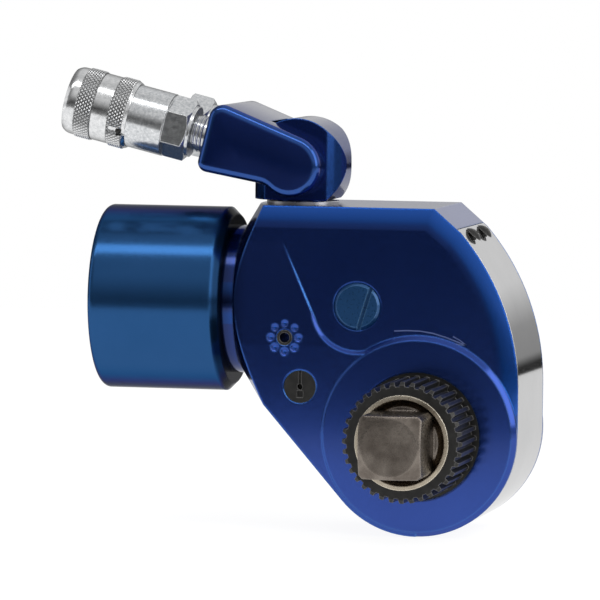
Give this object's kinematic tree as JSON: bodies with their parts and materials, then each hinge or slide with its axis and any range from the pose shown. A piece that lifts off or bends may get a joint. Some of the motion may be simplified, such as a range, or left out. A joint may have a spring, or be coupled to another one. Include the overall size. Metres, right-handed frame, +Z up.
{
  "type": "hydraulic torque wrench",
  "caption": "Square-drive hydraulic torque wrench: ratchet head with splined reaction sleeve, side cylinder, and a swivel arm that carries a quick coupler and a nipple.",
  "frame": {"origin": "on the drive axis, in the front face of the reaction sleeve, where a socket seats", "axes": "-Y out along the square drive, +X from the cylinder towards the round nose, +Z up to the hose swivel"},
  "size_m": [0.1939, 0.128, 0.188],
  "materials": {
    "anodised_blue": "deep blue anodised, semi-gloss",
    "plug_blue": "teal-blue anodised, gloss",
    "black_oxide": "black oxide, satin",
    "polished_plate": "polished",
    "tool_steel": "ground",
    "drive_steel": "hardened, worn bronze-grey",
    "zinc_plate": "bright zinc plated",
    "bright_steel": "bright drawn",
    "bush_bronze": "turned",
    "seal_rubber": "matte"
  },
  "bodies": {
    "housing": {"head_body": "anodised_blue", "cylinder_barrel": "anodised_blue", "cylinder_end_cap": "anodised_blue", "end_cap_seal": "seal_rubber", "neck_seal": "seal_rubber", "rod_gland": "bush_bronze", "rod_seal": "seal_rubber", "reaction_sleeve": "black_oxide", "front_bush": "bush_bronze", "rear_bush": "bush_bronze", "reaction_pawl_pin": "black_oxide", "reaction_pawl_spring": "bright_steel", "access_plug": "plug_blue", "handle_insert": "tool_steel", "shroud": "polished_plate", "shroud_screws": "black_oxide", "swivel_nut": "tool_steel"},
    "piston_body": {"piston": "tool_steel", "piston_seal": "seal_rubber", "piston_rod": "polished_plate"},
    "lever": {"drive_plate_front": "tool_steel", "drive_plate_rear": "tool_steel", "rod_pin": "tool_steel", "pawl_carrier": "tool_steel", "drive_pawl_springs": "bright_steel"},
    "drive_pawl_body": {"drive_pawl": "tool_steel"},
    "drive_train": {"ratchet": "tool_steel", "square_drive": "drive_steel", "drive_retainer": "tool_steel", "retainer_spring": "bright_steel", "retainer_balls": "bright_steel"},
    "button": {"retainer_button": "black_oxide"},
    "reaction_pawl_body": {"reaction_pawl": "tool_steel"},
    "swivel_post": {"swivel_base": "anodised_blue", "swivel_seals": "seal_rubber"},
    "hose_arm": {"swivel_arm": "anodised_blue", "arm_pivot_pin": "tool_steel", "pivot_seals": "seal_rubber", "pivot_clip": "tool_steel", "coupler_adapter": "zinc_plate", "coupler_body": "zinc_plate", "coupler_sleeve_spring": "bright_steel", "coupler_balls": "bright_steel", "coupler_lock_ball": "bright_steel", "coupler_poppet_spring": "bright_steel", "nipple_adapter": "zinc_plate", "nipple_body": "zinc_plate", "nipple_poppet_spring": "bright_steel"},
    "sleeve": {"coupler_sleeve": "zinc_plate"},
    "coupler_valve": {"coupler_poppet": "zinc_plate"},
    "nipple_valve": {"nipple_poppet": "zinc_plate"}
  },
  "joints": [
    {"name": "lever_swing", "type": "hinge", "parent": "housing", "child": "lever", "pos_m": [0, 0.064, 0], "axis": [0, 1, 0], "range_deg": [0, 24]},
    {"name": "piston_stroke", "type": "slide", "parent": "housing", "child": "piston_body", "axis": [1, 0, 0], "range_m": [0, 0.0235]},
    {"name": "drive_turn", "type": "hinge", "parent": "housing", "child": "drive_train", "pos_m": [0, 0.064, 0], "axis": [0, 1, 0], "continuous": true},
    {"name": "drive_pawl_lift", "type": "slide", "parent": "lever", "child": "drive_pawl_body", "axis": [0.309, 0, 0.9511], "range_m": [0, 0.0015], "stiffness_N_per_m": 2000, "deforming": ["drive_pawl_springs"]},
    {"name": "reaction_pawl_lift", "type": "hinge", "parent": "housing", "child": "reaction_pawl_body", "pos_m": [-0.0488, 0.064, 0.0189], "axis": [0, 1, 0], "range_deg": [0, 3], "stiffness_Nm_per_rad": 2, "deforming": ["reaction_pawl_spring"]},
    {"name": "retainer_button_push", "type": "slide", "parent": "drive_train", "child": "button", "axis": [0, -1, 0], "range_m": [0, 0.0025], "stiffness_N_per_m": 1500, "deforming": ["retainer_spring"]},
    {"name": "swivel_turn", "type": "hinge", "parent": "housing", "child": "swivel_post", "pos_m": [-0.0552, 0.064, 0.0925], "axis": [0, 0, 1], "continuous": true},
    {"name": "arm_pitch", "type": "hinge", "parent": "swivel_post", "child": "hose_arm", "pos_m": [-0.0552, 0.064, 0.1085], "axis": [0, 1, 0], "range_deg": [0, 160]},
    {"name": "sleeve_slide", "type": "slide", "parent": "hose_arm", "child": "sleeve", "axis": [0.9711, 0, -0.2385], "range_m": [0, 0.003], "stiffness_N_per_m": 2500, "deforming": ["coupler_sleeve_spring"]},
    {"name": "coupler_valve_push", "type": "slide", "parent": "hose_arm", "child": "coupler_valve", "axis": [0.9711, 0, -0.2385], "range_m": [0, 0.004], "stiffness_N_per_m": 2000, "deforming": ["coupler_poppet_spring"]},
    {"name": "nipple_valve_push", "type": "slide", "parent": "hose_arm", "child": "nipple_valve", "axis": [0.9711, 0, -0.2385], "range_m": [0, 0.003], "stiffness_N_per_m": 2000, "deforming": ["nipple_poppet_spring"]}
  ],
  "couplings": [
    {"joint": "piston_stroke", "follows": "lever_swing", "m_per_rad": 0.05597}
  ]
}
